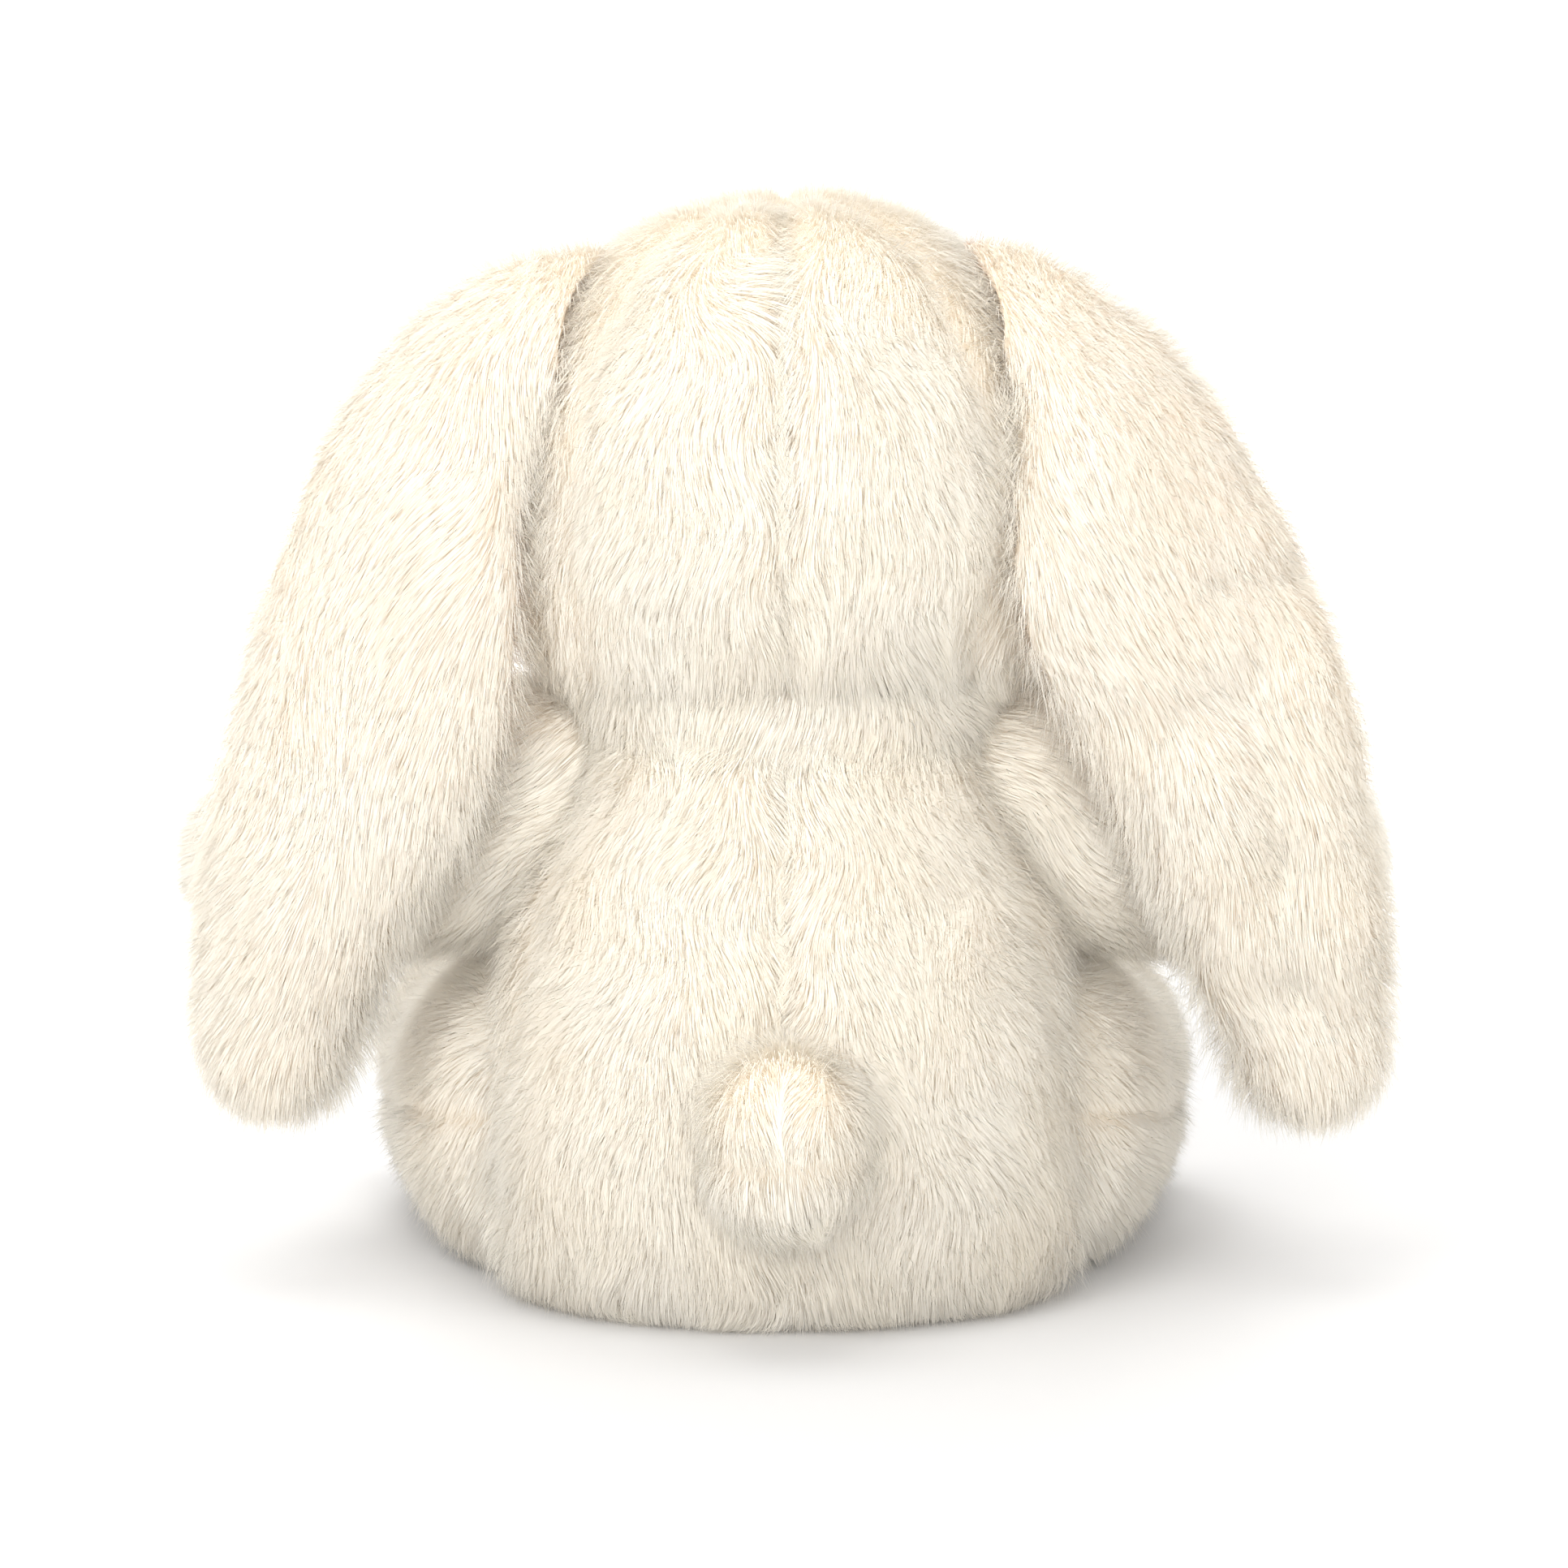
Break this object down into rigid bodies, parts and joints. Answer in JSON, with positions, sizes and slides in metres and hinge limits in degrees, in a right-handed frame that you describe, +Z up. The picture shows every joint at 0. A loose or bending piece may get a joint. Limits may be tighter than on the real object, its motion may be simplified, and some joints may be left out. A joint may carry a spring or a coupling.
{
  "type": "stuffed bunny rabbit",
  "caption": "Sitting lop-eared bunny of long cream pile fabric over soft filling, with sewn-on ears, arms, legs and a puff tail that flex at their seams.",
  "frame": {"origin": "centre of the flat seat, on the surface that the toy sits on", "axes": "+Z up, the toy faces -Y, its own left is +X"},
  "size_m": [0.2447, 0.1757, 0.2235],
  "materials": {
    "pile_fabric": "matte",
    "lining": "matte",
    "sole": "matte",
    "filling": "matte",
    "eye": "gloss",
    "washer": "matte",
    "nose": "satin",
    "mouth_thread": "satin",
    "seam_thread": "satin",
    "pouch": "matte",
    "pellets": "satin"
  },
  "bodies": {
    "torso": {"torso_back_left": "pile_fabric", "torso_back_right": "pile_fabric", "belly": "pile_fabric", "seat_panel": "pile_fabric", "closing_stitches": "seam_thread", "torso_filling": "filling", "bean_pouch": "pouch", "pellets": "pellets"},
    "head": {"head_back_left": "pile_fabric", "head_back_right": "pile_fabric", "face_left": "pile_fabric", "face_right": "pile_fabric", "head_filling": "filling", "eye_left": "eye", "eye_right": "eye", "eye_washer_left": "washer", "eye_washer_right": "washer", "nose": "nose", "mouth_stitches": "mouth_thread"},
    "ear_left": {"ear_left_back": "pile_fabric", "ear_left_lining": "lining"},
    "ear_right": {"ear_right_back": "pile_fabric", "ear_right_lining": "lining"},
    "arm_left": {"arm_left_back": "pile_fabric", "arm_left_front": "pile_fabric", "arm_left_filling": "filling"},
    "arm_right": {"arm_right_back": "pile_fabric", "arm_right_front": "pile_fabric", "arm_right_filling": "filling"},
    "leg_left": {"leg_left_top": "pile_fabric", "leg_left_under": "pile_fabric", "leg_left_sole": "sole", "leg_left_filling": "filling"},
    "leg_right": {"leg_right_top": "pile_fabric", "leg_right_under": "pile_fabric", "leg_right_sole": "sole", "leg_right_filling": "filling"},
    "tail": {"tail_upper": "pile_fabric", "tail_lower": "pile_fabric", "tail_filling": "filling"}
  },
  "joints": [
    {"name": "neck_nod", "type": "hinge", "parent": "torso", "child": "head", "pos_m": [0, 0, 0.121], "axis": [1, 0, 0], "range_deg": [-3, 11], "stiffness_Nm_per_rad": 0.6},
    {"name": "ear_left_lift", "type": "hinge", "parent": "head", "child": "ear_left", "pos_m": [0.0385, 0.008, 0.2022], "axis": [-0.3198, -0.6897, 0.6497], "range_deg": [0, 52], "stiffness_Nm_per_rad": 0.15},
    {"name": "ear_right_lift", "type": "hinge", "parent": "head", "child": "ear_right", "pos_m": [-0.0382, 0.008, 0.2035], "axis": [-0.3198, 0.6897, -0.6497], "range_deg": [0, 52], "stiffness_Nm_per_rad": 0.15},
    {"name": "arm_left_raise", "type": "hinge", "parent": "torso", "child": "arm_left", "pos_m": [0.045, -0.006, 0.1035], "axis": [0, -1, 0], "range_deg": [-2, 40], "stiffness_Nm_per_rad": 0.15},
    {"name": "arm_right_raise", "type": "hinge", "parent": "torso", "child": "arm_right", "pos_m": [-0.045, -0.006, 0.1035], "axis": [0, 1, 0], "range_deg": [-2, 40], "stiffness_Nm_per_rad": 0.15},
    {"name": "leg_left_raise", "type": "hinge", "parent": "torso", "child": "leg_left", "pos_m": [0.052, -0.014, 0.034], "axis": [-1, 0, 0], "range_deg": [0, 20], "stiffness_Nm_per_rad": 0.3},
    {"name": "leg_right_raise", "type": "hinge", "parent": "torso", "child": "leg_right", "pos_m": [-0.052, -0.014, 0.034], "axis": [-1, 0, 0], "range_deg": [0, 20], "stiffness_Nm_per_rad": 0.3},
    {"name": "tail_wag", "type": "hinge", "parent": "torso", "child": "tail", "pos_m": [0, 0.0555, 0.043], "axis": [1, 0, 0], "range_deg": [-8, 8], "stiffness_Nm_per_rad": 0.02}
  ]
}
